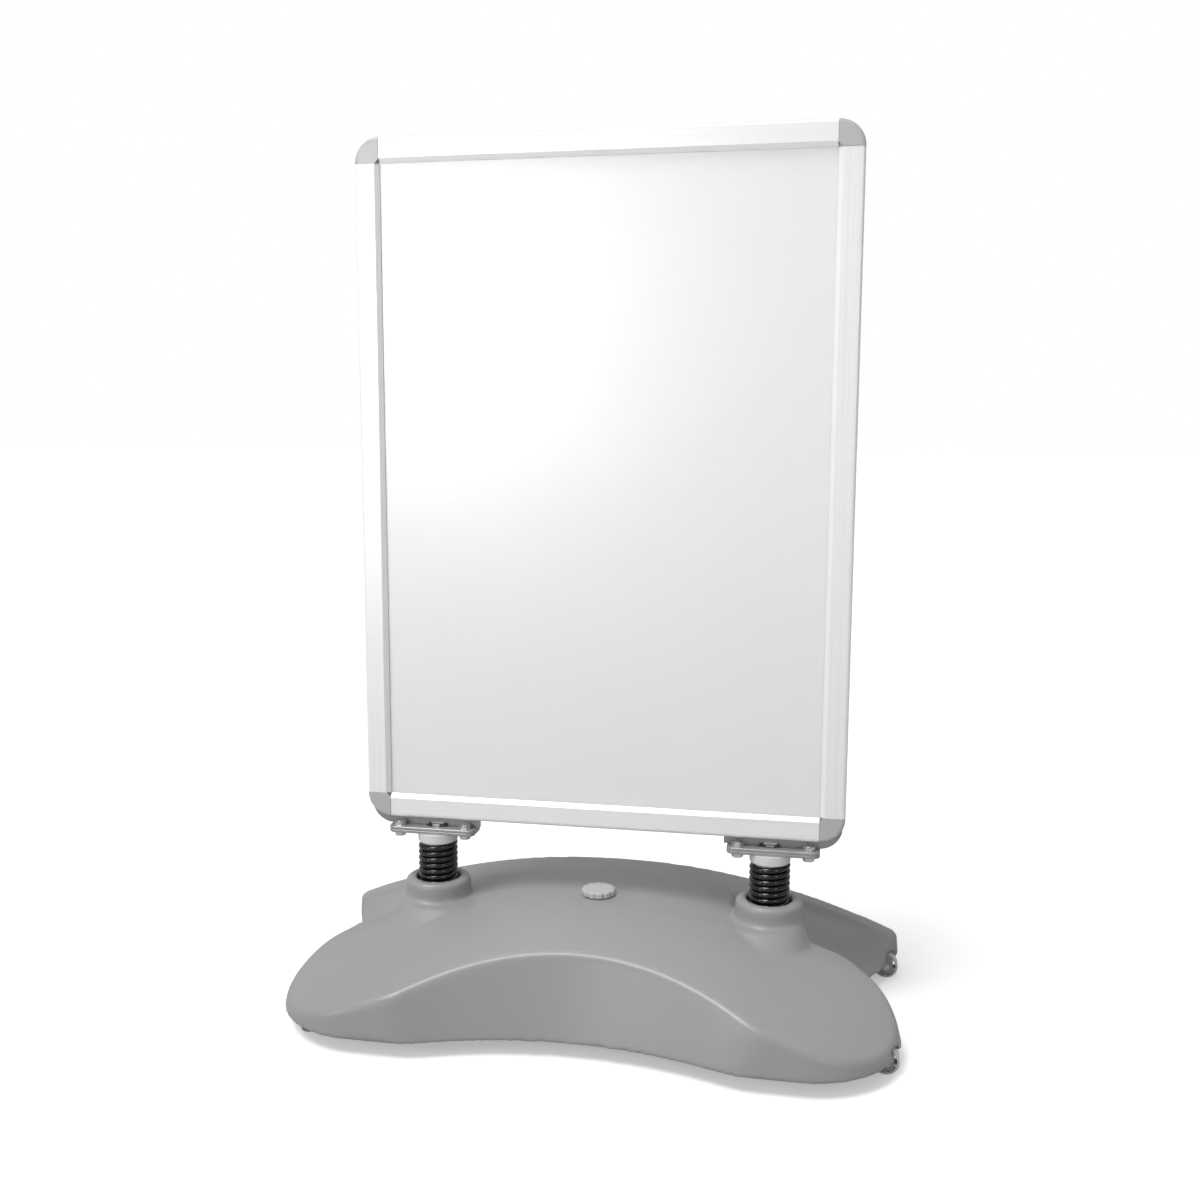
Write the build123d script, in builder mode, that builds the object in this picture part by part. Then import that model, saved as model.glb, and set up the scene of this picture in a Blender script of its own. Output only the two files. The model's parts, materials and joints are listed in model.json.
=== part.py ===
from build123d import *
import os
from math import radians, sqrt, tan

os.makedirs("parts", exist_ok=True)

# Sign: two snap frames back to back on a core panel, sized by the poster that they hold
poster_width = 594.0
poster_height = 841.0
poster_overlap = 18.5
rail_width = 32.0
frame_depth = 12.0
core_thickness = 2.5
core_inset = 3.0
sign_bottom = 231.0
sign_from_front = 226.25
corner_gap = 0.3

# Snap rail and its base extrusion, measured inward and back from the outer front edge
rail_skin = 1.4
rail_round = 5.0
rail_flat_end = 26.0
bevel_end = 31.5
bevel_depth = 5.2
skirt_depth = 7.6
bead_radius = 1.5
bead_inset = 3.0
bead_depth = 7.0
bead_clearance = 0.08
cradle_wall = 1.2
ledge_depth = 9.1
corner_proud = 0.7
corner_chamfer = 5.0
corner_wall = 1.8
corner_post = 14.0
corner_post_radius = 4.0
rail_lip = 1.4
rail_lip_rise = 0.7
rail_bend_inset = 0.6
cradle_back = 2.0
bead_neck = 0.8
cradle_mouth = 0.35
base_floor = 1.1
base_rib = 1.0
base_rib_gap = 0.1
spring_stop_place = 15.6
spring_stop_width = 1.2
spring_stop_depth = 6.5
ledge_place = 27.5
ledge_width = 7.0
leaf_length = 20.0
leaf_outline = (
    (7.8, 10.9), (8.6, 5.0), (11.2, 2.1), (14.4, 3.2), (14.2, 3.7), (11.3, 2.7), (9.1, 5.2), (8.3, 10.9)
)

# Sheets in the frame, by the depth of their front faces
cover_depth = 6.3
cover_thickness = 0.8
poster_thickness = 0.5
backing_thickness = 1.5

# Moulded base
base_clearance = 20.0
base_half_width = 396.0
base_depth = 395.0
base_wall = 4.0
lobe_side_inset = 8.0
lobe_radius = 120.0
hollow_radius = 498.0
hollow_rise = 40.0
waist_inset = 50.0
waist_from_front = 261.5
rear_corner_length = 14.0
hollow_draft = 22.0
lobe_draft = 14.0
tip_round_low = 120.0
tip_round_high = 45.0
waist_draft = 16.0
waist_round = 30.0
rear_draft = 6.0
rear_round = 10.0
crown_height = 142.0
crown_drop = 89.0
rear_crown_height = 135.0
rear_crown_drop = 84.577816
tilt_length = 168.0
tilt_fall = 46.0
tilt_round = 100.0
crease_round = 13.0
step_from_front = 213.0
platform_half_width = 172.0
platform_rear_inset = 94.5
rail_depth = 32.5
arch_depth = 80.0
scoop_inner_inset = 12.0
scoop_overrun = 16.0
scoop_from_front = 137.5
scoop_flat_from_front = 242.5
scoop_bow = 7.0
scoop_lobe_gap = 0.4
scoop_inner_heights = (108.0, 103.0, 92.0)
scoop_outer_heights = (-49.0, -19.0, 46.0)

# Spring posts
spring_spacing = 444.0
spring_outer_diameter = 52.5
spring_wire = 7.6
spring_pitch = 8.1
spring_bottom = 98.0
spring_top = 198.5
collar_top = 150.0
collar_radius = 43.0
collar_bore = 58.0
collar_taper = 6.0
collar_rim_round = 6.0
swell_radius = 50.0
swell_shift = (6.0, 8.0)
swell_top = 124.0
swell_foot_radius = 86.0
swell_foot_shift = (26.0, 34.0)
swell_foot = 84.0
pocket_floor = 91.0
collar_skirt_bottom = 60.0
anchor_recess_diameter = 40.0
anchor_recess_top = 79.0
plug_gap = 0.3
plug_flange = 13.0
plug_round = 3.0
plug_spigot_diameter = 36.0
plug_spigot_length = 34.0
plug_chamfer = 2.0
anchor_bolt_diameter = 10.0
anchor_hole_gap = 0.5
anchor_bolt_length = 42.0
anchor_bolt_flats_width = 16.0
anchor_bolt_head_height = 6.4
spring_bolt_length = 32.0

# Spring brackets
plate_length = 118.0
plate_width = 40.0
plate_thickness = 4.0
plate_corner = 9.0
plate_shift = 4.0
plate_chamfer = 0.6
plate_bolt_spacing_x = 90.0
plate_bolt_spacing_y = 22.0
plate_bolt_diameter = 8.0
plate_bolt_length = 14.2
plate_bolt_flats_width = 13.0
plate_bolt_head_height = 5.3
washer_diameter = 16.0
washer_thickness = 1.2
nut_height = 4.4
slot_length = 34.0
slot_width = 20.0
slot_shift = 1.0
shoe_length = 150.0
shoe_height = 94.0
shoe_notch = (26.0, 4.0)
shoe_gap = 0.2
rivet_diameter = 3.2
rivet_height = 11.0
rivet_head_diameter = 5.6
rivet_head_height = 1.0
rivet_steps = (0.2, 0.5, 0.78)

# Wheels, feet and filler
wheel_diameter = 32.0
wheel_width = 16.0
wheel_rim = 3.0
wheel_hub = 2.6
wheel_spokes = 5
wheel_spoke = 2.4
wheel_round = 1.0
wheel_pocket_gap = 1.5
wheel_pocket_wall = 3.0
wheel_pocket_width = 30.0
axle_diameter = 6.0
axle_clearance = 0.05
axle_length = 27.0
axle_chamfer = 0.5
cheek_thickness = 3.0
cheek_width = 18.0
cheek_drop = 9.0
cheek_gap = 0.6
clip_width = 1.8
clip_thickness = 0.8
clip_gap = 0.1
front_wheel_inset = (28.0, 87.5)
rear_wheel_inset = (18.0, 37.5)
foot_diameter = 28.0
foot_taper = 2.0
foot_stub_diameter = 8.0
front_foot_inset = (58.0, 62.0)
rear_foot_inset = (28.0, 32.5)
cap_diameter = 44.0
cap_height = 7.0
cap_lobes = 12
cap_scallop = 3.2
cap_scallop_offset = 1.5
cap_round = 2.0
cap_stub_length = 16.0
cap_stub_gap = 0.1
seal_diameter = 36.0
seal_thickness = 1.5
seal_gap = 0.1
seal_proud = 0.9
filler_from_front = 217.5
filler_bore = 27.2
filler_recess_gap = 1.5
filler_recess_depth = 0.7

# Places worked out from the sizes above
sign_width = poster_width + 2 * poster_overlap
sign_height = poster_height + 2 * poster_overlap
sign_top = sign_bottom + sign_height
sign_middle = sign_bottom + sign_height / 2
front_edge = -base_depth / 2
rear_edge = base_depth / 2
sign_setback = front_edge + sign_from_front
front_face = sign_setback - core_thickness / 2 - frame_depth
rear_face = sign_setback + core_thickness / 2 + frame_depth
lobe_centre_x = base_half_width - lobe_side_inset - lobe_radius
lobe_centre_y = front_edge + lobe_radius
waist_x = base_half_width - waist_inset
waist_y = front_edge + waist_from_front
crown_radius = (base_half_width**2 + crown_drop**2) / (2 * crown_drop)
rear_crown_radius = (base_half_width**2 + rear_crown_drop**2) / (2 * rear_crown_drop)
tilt_start = front_edge + tilt_length
tilt_slope = tilt_fall / tilt_length
lobe_reach = lobe_centre_x + lobe_radius
lobe_side_drop = crown_radius - sqrt(crown_radius**2 - lobe_reach**2)
lobe_side_top = crown_height - lobe_side_drop - tilt_slope * (tilt_start - lobe_centre_y)
lobe_side_wall = lobe_side_top - base_clearance
step_y = front_edge + step_from_front
platform_rear = rear_edge - platform_rear_inset
rail_front = rear_edge - rail_depth
scoop_inner_x = lobe_centre_x - scoop_inner_inset
scoop_outer_x = base_half_width + scoop_overrun
scoop_front = front_edge + scoop_from_front
scoop_flat_end = front_edge + scoop_flat_from_front
filler_y = front_edge + filler_from_front
front_wheel = (base_half_width - front_wheel_inset[0], front_edge + front_wheel_inset[1])
rear_wheel = (base_half_width - rear_wheel_inset[0], rear_edge - rear_wheel_inset[1])
front_foot = (front_foot_inset[0] - base_half_width, front_edge + front_foot_inset[1])
rear_foot = (rear_foot_inset[0] - base_half_width, rear_edge - rear_foot_inset[1])
spring_x = spring_spacing / 2
plate_bottom = spring_top + plug_flange
plate_middle = plate_bottom + plate_thickness
plate_top = plate_middle + plate_thickness
wheel_height = wheel_diameter / 2
wheel_places = {"wheel_front": front_wheel, "wheel_rear": rear_wheel}
foot_places = (front_foot, rear_foot)
post_places = ((-spring_x, sign_setback), (spring_x, sign_setback))
base_body_height = crown_height - 2.0
above_base = 2 * crown_height
cap_bottom = crown_height + seal_proud
standing = (Align.CENTER, Align.CENTER, Align.MIN)
hanging = (Align.CENTER, Align.CENTER, Align.MAX)


def write(piece, name):
    """Label one finished piece and write its file."""
    piece.label = name
    export_step(piece, f"parts/{name}.step")


def base_plan(level, lobe_in, hollow_in, waist_in, rear_in, tip_round):
    """Plan of the base at one height, its walls drawn in by their drafts."""
    radius = lobe_radius - lobe_in
    front = front_edge + lobe_in
    side = waist_x - waist_in
    rear_side = base_half_width - rear_in
    rear = rear_edge - rear_in
    hollow_y = front_edge + hollow_rise - hollow_radius
    with BuildSketch(Plane.XY.offset(level)) as plan:
        # The second circle is turned round so that both seams lie inside the plan
        right_lobe = Location((lobe_centre_x, lobe_centre_y, 0), (0, 0, 180))
        with Locations((-lobe_centre_x, lobe_centre_y), right_lobe):
            Circle(radius)
        with BuildLine():
            Polyline(
                (0, front),
                (lobe_centre_x, front),
                (lobe_centre_x, lobe_centre_y),
                (side, lobe_centre_y),
                (side, waist_y),
                (rear_side, rear - rear_corner_length),
                (rear_side, rear),
                (0, rear),
            )
            mirror(about=Plane.YZ)
        make_face()
        with Locations((0, hollow_y)):
            Circle(hollow_radius + hollow_in, mode=Mode.SUBTRACT)
        tips = plan.vertices().group_by(Axis.Y)[0]
        fillet(tips.sort_by(lambda tip: abs(tip.X))[:2], tip_round)
        fillet(plan.vertices().filter_by(lambda v: abs(abs(v.X) - side) < 0.5), waist_round)
        fillet(plan.vertices().filter_by(lambda v: v.Y > rear - 1), rear_round)
    return plan.sketch.face()


def base_body(inset):
    """The base's outline with its drafted walls, drawn in all round by the inset."""
    lobe_in = base_body_height * tan(radians(lobe_draft))
    hollow_in = base_body_height * tan(radians(hollow_draft))
    waist_in = base_body_height * tan(radians(waist_draft))
    rear_in = base_body_height * tan(radians(rear_draft))
    with BuildPart() as body:
        low = base_plan(base_clearance + inset, inset, inset, inset, inset, tip_round_low)
        high = base_plan(
            base_clearance + inset + base_body_height,
            lobe_in + inset,
            hollow_in + inset,
            waist_in + inset,
            rear_in + inset,
            tip_round_high,
        )
        loft([low, high], ruled=True)
    return body.part


def arch_section(height, radius, half_width, y):
    """Upright section of the ground under one arch of the base's top."""
    with BuildSketch(Plane((0, y, 0), x_dir=(1, 0, 0), z_dir=(0, -1, 0))) as section:
        with Locations((0, height - radius)):
            Circle(radius)
        with Locations((0, (height - arch_depth) / 2)):
            Rectangle(2 * half_width, height + arch_depth, mode=Mode.INTERSECT)
    return section.sketch


def base_crown(inset):
    """Everything under the base's top: the tilted front, the platform and the lower rear."""
    top = crown_height - inset
    rear_top = rear_crown_height - inset
    width = base_half_width + rear_corner_length
    with BuildPart() as crown:
        front = arch_section(top, crown_radius, width, tilt_start)
        extrude(front, amount=base_depth, dir=(0, -1, -tilt_slope))
        extrude(front, amount=step_y - tilt_start, dir=(0, 1, 0))
        platform = arch_section(top, crown_radius, platform_half_width - inset, tilt_start)
        extrude(platform, amount=platform_rear - inset - tilt_start, dir=(0, 1, 0))
        rear = arch_section(rear_top, rear_crown_radius, width, step_y)
        extrude(rear, amount=base_depth / 2, dir=(0, 1, 0))
        ridge = crown.edges().filter_by(lambda e: e.center().Z > top / 2)
        ridge = ridge.filter_by(lambda e: abs(e.center().Y - tilt_start) < 0.1)
        fillet(ridge, tilt_round)
    return crown.part


def scoop_section(x, inset, depths):
    """Upright section of one end of a scoop, with its floor curving up to the rear rail."""
    low, middle, high = (depth - inset for depth in depths)
    rear = rail_front + inset
    with BuildSketch(Plane((x, 0, 0), x_dir=(0, 1, 0), z_dir=(1, 0, 0))) as section:
        with BuildLine():
            Polyline(
                (rear, high),
                (rear, above_base),
                (scoop_front, above_base),
                (scoop_front, low),
                (scoop_flat_end, low),
            )
            bow = ((scoop_flat_end + rear) / 2 + scoop_bow, middle)
            ThreePointArc((scoop_flat_end, low), bow, (rear, high))
        make_face()
    return section.sketch.face()


def base_scoop(side, inset):
    """Cutter for the scoop between a front lobe and the rear rail, clear of the lobe itself."""
    inner = scoop_section(side * (scoop_inner_x - inset), inset, scoop_inner_heights)
    outer = scoop_section(side * scoop_outer_x, inset, scoop_outer_heights)
    with BuildPart() as cutter:
        loft([inner, outer], ruled=True)
        with Locations((side * lobe_centre_x, lobe_centre_y, base_clearance)):
            lobe_foot = lobe_radius + scoop_lobe_gap - inset
            lobe_head = lobe_foot - above_base * tan(radians(lobe_draft))
            Cone(lobe_foot, lobe_head, above_base, align=standing, mode=Mode.SUBTRACT)
    return cutter.part


def spring_collar(x):
    """Collar that a spring stands in, a tapered ring rising out of the moulding."""
    with BuildPart() as collar:
        with BuildSketch(Plane((x, sign_setback, 0), x_dir=(1, 0, 0), z_dir=(0, -1, 0))):
            with BuildLine():
                Polyline(
                    (0, collar_skirt_bottom),
                    (collar_radius + collar_taper, collar_skirt_bottom),
                    (collar_radius, collar_top),
                    (0, collar_top),
                    close=True,
                )
            make_face()
        revolve(axis=Axis((x, sign_setback, 0), (0, 0, 1)))
        rims = collar.edges().filter_by(GeomType.CIRCLE).group_by(Axis.Z)
        fillet(rims[-1], collar_rim_round)
    return collar.part


def collar_swell(x):
    """Swelling of the front surface up to a collar, a cone leaning forward and inward."""
    inward = -1 if x > 0 else 1
    with BuildPart() as swell:
        with BuildSketch(Plane.XY.offset(swell_foot)) as foot:
            with Locations((x + inward * swell_foot_shift[0], sign_setback - swell_foot_shift[1])):
                Circle(swell_foot_radius)
        with BuildSketch(Plane.XY.offset(swell_top)) as top:
            with Locations((x + inward * swell_shift[0], sign_setback - swell_shift[1])):
                Circle(swell_radius)
        loft([foot.sketch.face(), top.sketch.face()], ruled=True)
        add(scoops, mode=Mode.SUBTRACT)
    return swell.part


base_outer = base_body(0)
base_outer_crown = base_crown(0)
base_inner = base_body(base_wall)
base_inner_crown = base_crown(base_wall)
scoops = [base_scoop(side, 0) for side in (-1, 1)]
inner_scoops = [base_scoop(side, base_wall) for side in (-1, 1)]
collars = [spring_collar(x) for x, y in post_places]
swells = [collar_swell(x) for x, y in post_places]

# Tank: the space inside the moulding, clear of the spring posts and the wheel pockets
with BuildPart() as tank:
    add(base_inner)
    add(base_inner_crown, mode=Mode.INTERSECT)
    add(inner_scoops, mode=Mode.SUBTRACT)
    with Locations(*[(x, y, collar_top / 2) for x, y in post_places]):
        Cylinder(collar_bore / 2 + base_wall, collar_top, mode=Mode.SUBTRACT)
    for x, y in wheel_places.values():
        with Locations((x, y, wheel_height)):
            Cylinder(
                wheel_height + wheel_pocket_gap + wheel_pocket_wall,
                wheel_pocket_width + 2 * wheel_pocket_wall,
                rotation=(90, 0, 0),
                mode=Mode.SUBTRACT,
            )

# Water base: one hollow moulding with a filler hole, spring pockets and wheel pockets
with BuildPart() as water_base:
    add(base_outer)
    add(base_outer_crown, mode=Mode.INTERSECT)
    add(scoops, mode=Mode.SUBTRACT)
    front_tops = water_base.faces().filter_by(lambda f: f.normal_at(f.center()).Z > 0.8)
    front_tops = front_tops.filter_by(lambda f: f.center().Z > base_clearance)
    front_tops = front_tops.filter_by(lambda f: f.center().Y < step_y)
    crease = front_tops.edges().filter_by(lambda e: e.length < 500 and e.center().Y < step_y - 1)
    fillet(crease, min(crease_round, lobe_side_wall - base_wall / 2))
    add(swells)
    add(collars)
    with Locations(*[(x, y, pocket_floor) for x, y in post_places]):
        Cylinder(collar_bore / 2, above_base, align=standing, mode=Mode.SUBTRACT)
        Cylinder(anchor_bolt_diameter / 2 + anchor_hole_gap, above_base, mode=Mode.SUBTRACT)
    with Locations(*[(x, y, anchor_recess_top) for x, y in post_places]):
        Cylinder(anchor_recess_diameter / 2, anchor_recess_top, align=hanging, mode=Mode.SUBTRACT)
    add(tank.part, mode=Mode.SUBTRACT)
    for x, y in wheel_places.values():
        with Locations((x, y, wheel_height)):
            Cylinder(
                wheel_height + wheel_pocket_gap, wheel_pocket_width, rotation=(90, 0, 0), mode=Mode.SUBTRACT
            )
    with Locations(*[(x, y, base_clearance) for x, y in foot_places]):
        Cylinder(foot_stub_diameter / 2, 3 * base_wall, mode=Mode.SUBTRACT)
    with Locations((0, filler_y, crown_height)):
        Cylinder(filler_bore / 2, crown_height / 2, mode=Mode.SUBTRACT)
        Cylinder(cap_diameter / 2 + filler_recess_gap, 2 * filler_recess_depth, mode=Mode.SUBTRACT)
write(water_base.part, "water_base")


# Filler cap: a scalloped knob on a short stub, with its seal under the rim
with BuildPart() as filler_cap:
    with BuildSketch(Plane.XY.offset(cap_bottom)):
        with Locations((0, filler_y)):
            Circle(cap_diameter / 2)
            with PolarLocations(cap_diameter / 2 + cap_scallop_offset, cap_lobes):
                Circle(cap_scallop, mode=Mode.SUBTRACT)
    extrude(amount=cap_height)
    fillet(filler_cap.edges().group_by(Axis.Z)[-1], cap_round)
    with Locations((0, filler_y, cap_bottom)):
        Cylinder(filler_bore / 2 - cap_stub_gap, cap_stub_length, align=hanging)
write(filler_cap.part, "filler_cap")

with BuildPart() as filler_seal:
    with Locations((0, filler_y, cap_bottom)):
        Cylinder(seal_diameter / 2, seal_thickness, align=hanging)
        Cylinder(filler_bore / 2 + seal_gap, 3 * seal_thickness, mode=Mode.SUBTRACT)
write(filler_seal.part, "filler_seal")


def wheel(place):
    """Spoked plastic wheel whose axle runs front to back."""
    x, y = place
    with BuildPart() as disc:
        with BuildSketch(Plane((x, y, wheel_height), x_dir=(1, 0, 0), z_dir=(0, 1, 0))):
            Circle(wheel_diameter / 2)
            Circle(wheel_diameter / 2 - wheel_rim, mode=Mode.SUBTRACT)
            Circle(axle_diameter / 2 + wheel_hub)
            with PolarLocations(0, wheel_spokes, start_angle=20):
                with Locations(((wheel_diameter / 2 - wheel_rim / 2 + axle_diameter / 2) / 2, 0)):
                    Rectangle((wheel_diameter - wheel_rim - axle_diameter) / 2, wheel_spoke)
            Circle(axle_diameter / 2 + axle_clearance, mode=Mode.SUBTRACT)
        extrude(amount=wheel_width / 2, both=True)
        rims = disc.edges().filter_by(GeomType.CIRCLE)
        fillet(rims.filter_by(lambda e: e.radius > wheel_diameter / 2 - 0.1), wheel_round)
    return disc.part


for name, place in wheel_places.items():
    write(wheel(place), name)

# Cheeks that carry the axles, seated against the roof of each wheel pocket
with BuildPart() as wheel_cheeks:
    for x, y in wheel_places.values():
        for side in (-1, 1):
            middle = y + side * (wheel_width / 2 + cheek_gap + cheek_thickness / 2)
            with BuildSketch(Plane((x, middle, wheel_height), x_dir=(1, 0, 0), z_dir=(0, -1, 0))):
                Circle(wheel_height + wheel_pocket_gap)
                with Locations((0, -cheek_drop)):
                    Rectangle(
                        cheek_width,
                        wheel_diameter + cheek_drop,
                        align=(Align.CENTER, Align.MIN),
                        mode=Mode.INTERSECT,
                    )
                Circle(axle_diameter / 2, mode=Mode.SUBTRACT)
            extrude(amount=cheek_thickness / 2, both=True)
write(wheel_cheeks.part, "wheel_cheeks")

with BuildPart() as wheel_axles:
    for x, y in wheel_places.values():
        with Locations((x, y, wheel_height)):
            Cylinder(axle_diameter / 2, axle_length, rotation=(90, 0, 0))
    chamfer(wheel_axles.edges().filter_by(GeomType.CIRCLE), axle_chamfer)
write(wheel_axles.part, "wheel_axles")

# Spring clips on the axle ends
with BuildPart() as axle_clips:
    for x, y in wheel_places.values():
        for side in (-1, 1):
            cheek_face = wheel_width / 2 + cheek_gap + cheek_thickness
            clip_y = y + side * (cheek_face + clip_gap + clip_thickness / 2)
            with Locations((x, clip_y, wheel_height)):
                Cylinder(axle_diameter / 2 + clip_width, clip_thickness, rotation=(90, 0, 0))
                Cylinder(axle_diameter / 2, 3 * clip_thickness, rotation=(90, 0, 0), mode=Mode.SUBTRACT)
write(axle_clips.part, "axle_clips")

# Rubber feet at the end without wheels, each pushed into a hole in the floor of the base
with BuildPart() as base_feet:
    with Locations(*[(x, y, 0) for x, y in foot_places]):
        Cone(foot_diameter / 2 - foot_taper, foot_diameter / 2, base_clearance, align=standing)
        Cylinder(foot_stub_diameter / 2, base_clearance + base_wall, align=standing)
write(base_feet.part, "base_feet")

# Spring posts: plugs, coils and bolts
for name, (x, y) in zip(("left", "right"), post_places):
    with BuildPart() as lower_plug:
        with Locations((x, y, pocket_floor)):
            Cylinder(collar_bore / 2 - plug_gap, spring_bottom - pocket_floor, align=standing)
            Cylinder(plug_spigot_diameter / 2, plug_spigot_length, align=standing)
        chamfer(lower_plug.edges().group_by(Axis.Z)[-1], plug_chamfer)
        with Locations((x, y, pocket_floor)):
            Cylinder(anchor_bolt_diameter / 2, 3 * plug_spigot_length, mode=Mode.SUBTRACT)
    write(lower_plug.part, f"lower_plug_{name}")

    with BuildPart() as upper_plug:
        with Locations((x, y, spring_top)):
            Cylinder(spring_outer_diameter / 2, plate_bottom - spring_top, align=standing)
        fillet(upper_plug.edges().group_by(Axis.Z)[0], plug_round)
        with Locations((x, y, plate_bottom)):
            Cylinder(plug_spigot_diameter / 2, plug_spigot_length, align=hanging)
        chamfer(upper_plug.edges().group_by(Axis.Z)[0], plug_chamfer)
        with Locations((x, y, plate_bottom)):
            Cylinder(anchor_bolt_diameter / 2, 3 * plug_spigot_length, mode=Mode.SUBTRACT)
    write(upper_plug.part, f"upper_plug_{name}")

    coil_radius = (spring_outer_diameter - spring_wire) / 2
    coil_height = spring_top - spring_bottom
    with BuildPart() as spring:
        with BuildLine(Plane((x, y, spring_bottom))) as coil:
            Helix(spring_pitch, coil_height, coil_radius)
        with BuildSketch(Plane(coil.line @ 0, z_dir=coil.line % 0)):
            Circle(spring_wire / 2)
        sweep(is_frenet=True)
        with Locations((x, y, (spring_bottom + spring_top) / 2)):
            Box(2 * spring_outer_diameter, 2 * spring_outer_diameter, coil_height, mode=Mode.INTERSECT)
    write(spring.part, f"spring_{name}")

    outward = 1 if x > 0 else -1
    plate_x = x + outward * plate_shift
    slot_x = x - outward * slot_shift
    for piece, level in (("lower", plate_bottom), ("upper", plate_middle)):
        with BuildPart() as plate:
            with BuildSketch(Plane.XY.offset(level)):
                with Locations((plate_x, y)):
                    RectangleRounded(plate_length, plate_width, plate_corner)
                    with GridLocations(plate_bolt_spacing_x, plate_bolt_spacing_y, 2, 2):
                        Circle(plate_bolt_diameter / 2, mode=Mode.SUBTRACT)
                if piece == "upper":
                    with Locations((slot_x, y)):
                        SlotOverall(slot_length, slot_width, mode=Mode.SUBTRACT)
                else:
                    with Locations((x, y)):
                        Circle(anchor_bolt_diameter / 2, mode=Mode.SUBTRACT)
            extrude(amount=plate_thickness)
            corner_rims = plate.edges().filter_by(GeomType.CIRCLE)
            chamfer(corner_rims.filter_by(lambda e: e.radius == plate_corner), plate_chamfer)
        write(plate.part, f"{piece}_plate_{name}")

    # Upright shoe between the two frames, standing on the bracket
    outer = outward * (sign_width / 2 - core_inset)
    inner = outer - outward * shoe_length
    with BuildPart() as shoe:
        with BuildSketch(Plane((0, sign_setback, plate_top), x_dir=(1, 0, 0), z_dir=(0, -1, 0))) as outline:
            with Locations(((outer + inner) / 2, shoe_height / 2)):
                Rectangle(shoe_length, shoe_height)
            foot_corners = outline.vertices().group_by(Axis.Y)[0]
            fillet(foot_corners.sort_by(lambda v: abs(v.X))[-1], rail_width - core_inset)
            rivet_rise = sign_bottom - plate_top + rivet_height
            with Locations(*[(inner + (outer - inner) * t, rivet_rise) for t in rivet_steps]):
                Circle(rivet_diameter / 2, mode=Mode.SUBTRACT)
            with Locations((slot_x, 0)):
                Rectangle(shoe_notch[0], 2 * shoe_notch[1], mode=Mode.SUBTRACT)
        extrude(amount=core_thickness / 2, both=True)
    write(shoe.part, f"shoe_{name}")


def hex_bolt(x, y, head_face, length, diameter, flats, head, up):
    """Hexagon bolt with its head's bearing face at one height, pointing up or down."""
    direction = 1 if up else -1
    with BuildSketch(Plane.XY.offset(head_face)) as hexagon:
        with Locations((x, y)):
            RegularPolygon(flats / 2, 6, major_radius=False)
    extrude(hexagon.sketch, amount=-direction * head)
    with BuildSketch(Plane.XY.offset(head_face)) as shank:
        with Locations((x, y)):
            Circle(diameter / 2)
    extrude(shank.sketch, amount=direction * length)


with BuildPart() as anchor_bolts:
    for x, y in post_places:
        hex_bolt(
            x,
            y,
            anchor_recess_top,
            anchor_bolt_length,
            anchor_bolt_diameter,
            anchor_bolt_flats_width,
            anchor_bolt_head_height,
            True,
        )
write(anchor_bolts.part, "anchor_bolts")

with BuildPart() as spring_bolts:
    for x, y in post_places:
        hex_bolt(
            x,
            y,
            plate_middle,
            spring_bolt_length,
            anchor_bolt_diameter,
            anchor_bolt_flats_width,
            anchor_bolt_head_height,
            False,
        )
write(spring_bolts.part, "spring_bolts")

with BuildPart() as plate_bolts:
    for x, y in post_places:
        for i in (-1, 1):
            for j in (-1, 1):
                hex_bolt(
                    (1 if x > 0 else -1) * (spring_x + plate_shift) + i * plate_bolt_spacing_x / 2,
                    y + j * plate_bolt_spacing_y / 2,
                    plate_bottom,
                    plate_bolt_length,
                    plate_bolt_diameter,
                    plate_bolt_flats_width,
                    plate_bolt_head_height,
                    True,
                )
write(plate_bolts.part, "plate_bolts")

# Washers and nuts on the plate bolts
with BuildPart() as plate_nuts:
    for x, y in post_places:
        with BuildSketch(Plane.XY.offset(plate_top)):
            with Locations((x + (plate_shift if x > 0 else -plate_shift), y)):
                with GridLocations(plate_bolt_spacing_x, plate_bolt_spacing_y, 2, 2):
                    Circle(washer_diameter / 2)
                    Circle(plate_bolt_diameter / 2, mode=Mode.SUBTRACT)
        extrude(amount=washer_thickness)
        with BuildSketch(Plane.XY.offset(plate_top + washer_thickness)):
            with Locations((x + (plate_shift if x > 0 else -plate_shift), y)):
                with GridLocations(plate_bolt_spacing_x, plate_bolt_spacing_y, 2, 2):
                    RegularPolygon(plate_bolt_flats_width / 2, 6, major_radius=False)
                    Circle(plate_bolt_diameter / 2, mode=Mode.SUBTRACT)
        extrude(amount=nut_height)
write(plate_nuts.part, "plate_nuts")

# Core panel between the two frames, notched round the shoes
with BuildPart() as core_panel:
    with BuildSketch(Plane((0, sign_setback, sign_middle), x_dir=(1, 0, 0), z_dir=(0, -1, 0))):
        RectangleRounded(sign_width - 2 * core_inset, sign_height - 2 * core_inset, rail_width - core_inset)
        for side in (-1, 1):
            shoe_middle = plate_top + shoe_height / 2
            shoe_x = side * (sign_width / 2 - core_inset - shoe_length / 2)
            with Locations((shoe_x, shoe_middle - sign_middle)):
                Rectangle(shoe_length + 2 * shoe_gap, shoe_height + 2 * shoe_gap, mode=Mode.SUBTRACT)
    extrude(amount=core_thickness / 2, both=True)
write(core_panel.part, "core_panel")


def side_plane(face, depth_sign, side):
    """Plane of a rail's section: across the frame, then into its depth, along the rail."""
    inward = {
        "top": Vector(0, 0, -1),
        "bottom": Vector(0, 0, 1),
        "left": Vector(1, 0, 0),
        "right": Vector(-1, 0, 0),
    }[side]
    depth = Vector(0, depth_sign, 0)
    edge = {
        "top": Vector(0, face, sign_top),
        "bottom": Vector(0, face, sign_bottom),
        "left": Vector(-sign_width / 2, face, sign_middle),
        "right": Vector(sign_width / 2, face, sign_middle),
    }[side]
    return Plane(edge, x_dir=inward, z_dir=inward.cross(depth))


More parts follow.
